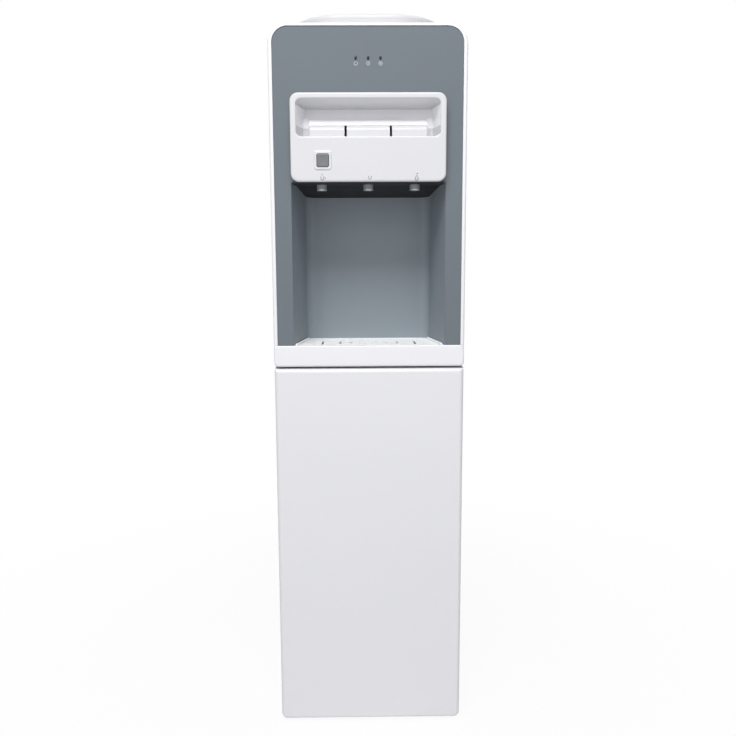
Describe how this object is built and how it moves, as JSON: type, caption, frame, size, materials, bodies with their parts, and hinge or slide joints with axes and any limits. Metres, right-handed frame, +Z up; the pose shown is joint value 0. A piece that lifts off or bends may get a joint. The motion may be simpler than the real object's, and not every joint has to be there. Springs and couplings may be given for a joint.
{
  "type": "top-loading water dispenser",
  "caption": "Slim free-standing water dispenser with push keys over a cup bay, a lift-out drip tray and a bottle seat on top.",
  "frame": {"origin": "floor under the middle of the bounding box", "axes": "+X to the right as seen from the front, +Y to the back, +Z up"},
  "size_m": [0.27, 0.3235, 1.033],
  "materials": {
    "white_moulding": "satin white moulding",
    "grey_moulding": "satin grey moulding",
    "dark_moulding": "matt black moulding",
    "button_grey": "satin grey button",
    "white_steel": "powder coated white",
    "zinc_steel": "galvanised sheet",
    "stainless": "stainless, lightly brushed",
    "spring_steel": "bright wire",
    "black_enamel": "black enamel",
    "copper": "copper tube",
    "black_rubber": "moulded rubber",
    "silicone": "milky silicone",
    "foam": "expanded foam",
    "board": "green laminate",
    "lens": "smoked lens",
    "valve_moulding": "grey food-grade moulding",
    "switch_black": "black moulding",
    "switch_red": "red moulding",
    "switch_green": "green moulding"
  },
  "bodies": {
    "cabinet": {"back_panel": "zinc_steel", "base_plate": "zinc_steel", "ceiling_plate": "dark_moulding", "cold_tank": "stainless", "compressor": "black_enamel", "compressor_mounts": "black_rubber", "condenser": "black_enamel", "condenser_brackets": "black_enamel", "control_board": "board", "cord_gland": "dark_moulding", "drain_fitting": "white_moulding", "evaporator_coil": "copper", "fascia": "grey_moulding", "filter_dryer": "copper", "front_frame": "white_moulding", "heater_band": "stainless", "hot_tank": "stainless", "hot_tank_bracket": "zinc_steel", "hot_tank_jacket": "foam", "insulation_left": "foam", "insulation_right": "foam", "key_pin": "stainless", "light_pipes": "lens", "lower_front_panel": "white_moulding", "mid_shelf": "zinc_steel", "neck_seal": "silicone", "panel_screws": "spring_steel", "refrigerant_lines": "copper", "rubber_feet": "black_rubber", "side_panel_left": "white_steel", "side_panel_right": "white_steel", "switch_housings": "switch_black", "tank_baffle": "white_moulding", "tank_lid": "white_moulding", "tap_housing": "white_moulding", "thermostats": "dark_moulding", "top_cover": "white_moulding", "tray_housing": "white_moulding", "upper_shelf": "zinc_steel", "valve_body_cold": "valve_moulding", "valve_body_hot": "valve_moulding", "valve_body_warm": "valve_moulding", "water_hoses": "silicone"},
    "drip_tray": {"drip_tray": "white_moulding"},
    "drip_grille": {"drip_grille": "white_moulding"},
    "bottle_collar": {"bottle_collar": "white_moulding", "feed_spike": "white_moulding"},
    "lock_button": {"lock_button": "button_grey"},
    "rocker_heating": {"rocker_heating": "switch_red"},
    "rocker_cooling": {"rocker_cooling": "switch_green"},
    "drain_cap": {"drain_cap": "white_moulding"},
    "key_hot": {"key_hot": "white_moulding"},
    "valve_stem_hot": {"valve_stem_hot": "valve_moulding", "valve_spring_hot": "spring_steel"},
    "key_warm": {"key_warm": "white_moulding"},
    "valve_stem_warm": {"valve_stem_warm": "valve_moulding", "valve_spring_warm": "spring_steel"},
    "key_cold": {"key_cold": "white_moulding"},
    "valve_stem_cold": {"valve_stem_cold": "valve_moulding", "valve_spring_cold": "spring_steel"}
  },
  "joints": [
    {"name": "key_hot_press", "type": "hinge", "parent": "cabinet", "child": "key_hot", "pos_m": [-0.065, -0.10725, 0.866], "axis": [1, 0, 0], "range_deg": [0, 6.5], "stiffness_Nm_per_rad": 1.5, "springref_deg": -5.73},
    {"name": "valve_hot_open", "type": "slide", "parent": "cabinet", "child": "valve_stem_hot", "axis": [0, 0, -1], "range_m": [0, 0.0026], "deforming": ["valve_spring_hot"]},
    {"name": "key_warm_press", "type": "hinge", "parent": "cabinet", "child": "key_warm", "pos_m": [0, -0.10725, 0.866], "axis": [1, 0, 0], "range_deg": [0, 6.5], "stiffness_Nm_per_rad": 1.5, "springref_deg": -5.73},
    {"name": "valve_warm_open", "type": "slide", "parent": "cabinet", "child": "valve_stem_warm", "axis": [0, 0, -1], "range_m": [0, 0.0026], "deforming": ["valve_spring_warm"]},
    {"name": "key_cold_press", "type": "hinge", "parent": "cabinet", "child": "key_cold", "pos_m": [0.065, -0.10725, 0.866], "axis": [1, 0, 0], "range_deg": [0, 6.5], "stiffness_Nm_per_rad": 1.5, "springref_deg": -5.73},
    {"name": "valve_cold_open", "type": "slide", "parent": "cabinet", "child": "valve_stem_cold", "axis": [0, 0, -1], "range_m": [0, 0.0026], "deforming": ["valve_spring_cold"]},
    {"name": "lock_press", "type": "slide", "parent": "cabinet", "child": "lock_button", "axis": [0, 1, 0], "range_m": [0, 0.003], "stiffness_N_per_m": 400, "springref_m": -0.002},
    {"name": "tray_lift", "type": "slide", "parent": "cabinet", "child": "drip_tray", "axis": [0, 0, 1], "range_m": [0, 0.06]},
    {"name": "grille_lift", "type": "slide", "parent": "drip_tray", "child": "drip_grille", "axis": [0, 0, 1], "range_m": [0, 0.05]},
    {"name": "collar_lift", "type": "slide", "parent": "cabinet", "child": "bottle_collar", "axis": [0, 0, 1], "range_m": [0, 0.08]},
    {"name": "cap_pull", "type": "slide", "parent": "cabinet", "child": "drain_cap", "axis": [0, 1, 0], "range_m": [0, 0.03]},
    {"name": "switch_heating", "type": "hinge", "parent": "cabinet", "child": "rocker_heating", "pos_m": [0.054, 0.14075, 0.79], "axis": [1, 0, 0], "range_deg": [-16, 0]},
    {"name": "switch_cooling", "type": "hinge", "parent": "cabinet", "child": "rocker_cooling", "pos_m": [0.086, 0.14075, 0.79], "axis": [1, 0, 0], "range_deg": [-16, 0]}
  ],
  "couplings": [
    {"joint": "valve_hot_open", "follows": "key_hot_press", "m_per_rad": 0.022},
    {"joint": "valve_warm_open", "follows": "key_warm_press", "m_per_rad": 0.022},
    {"joint": "valve_cold_open", "follows": "key_cold_press", "m_per_rad": 0.022}
  ]
}
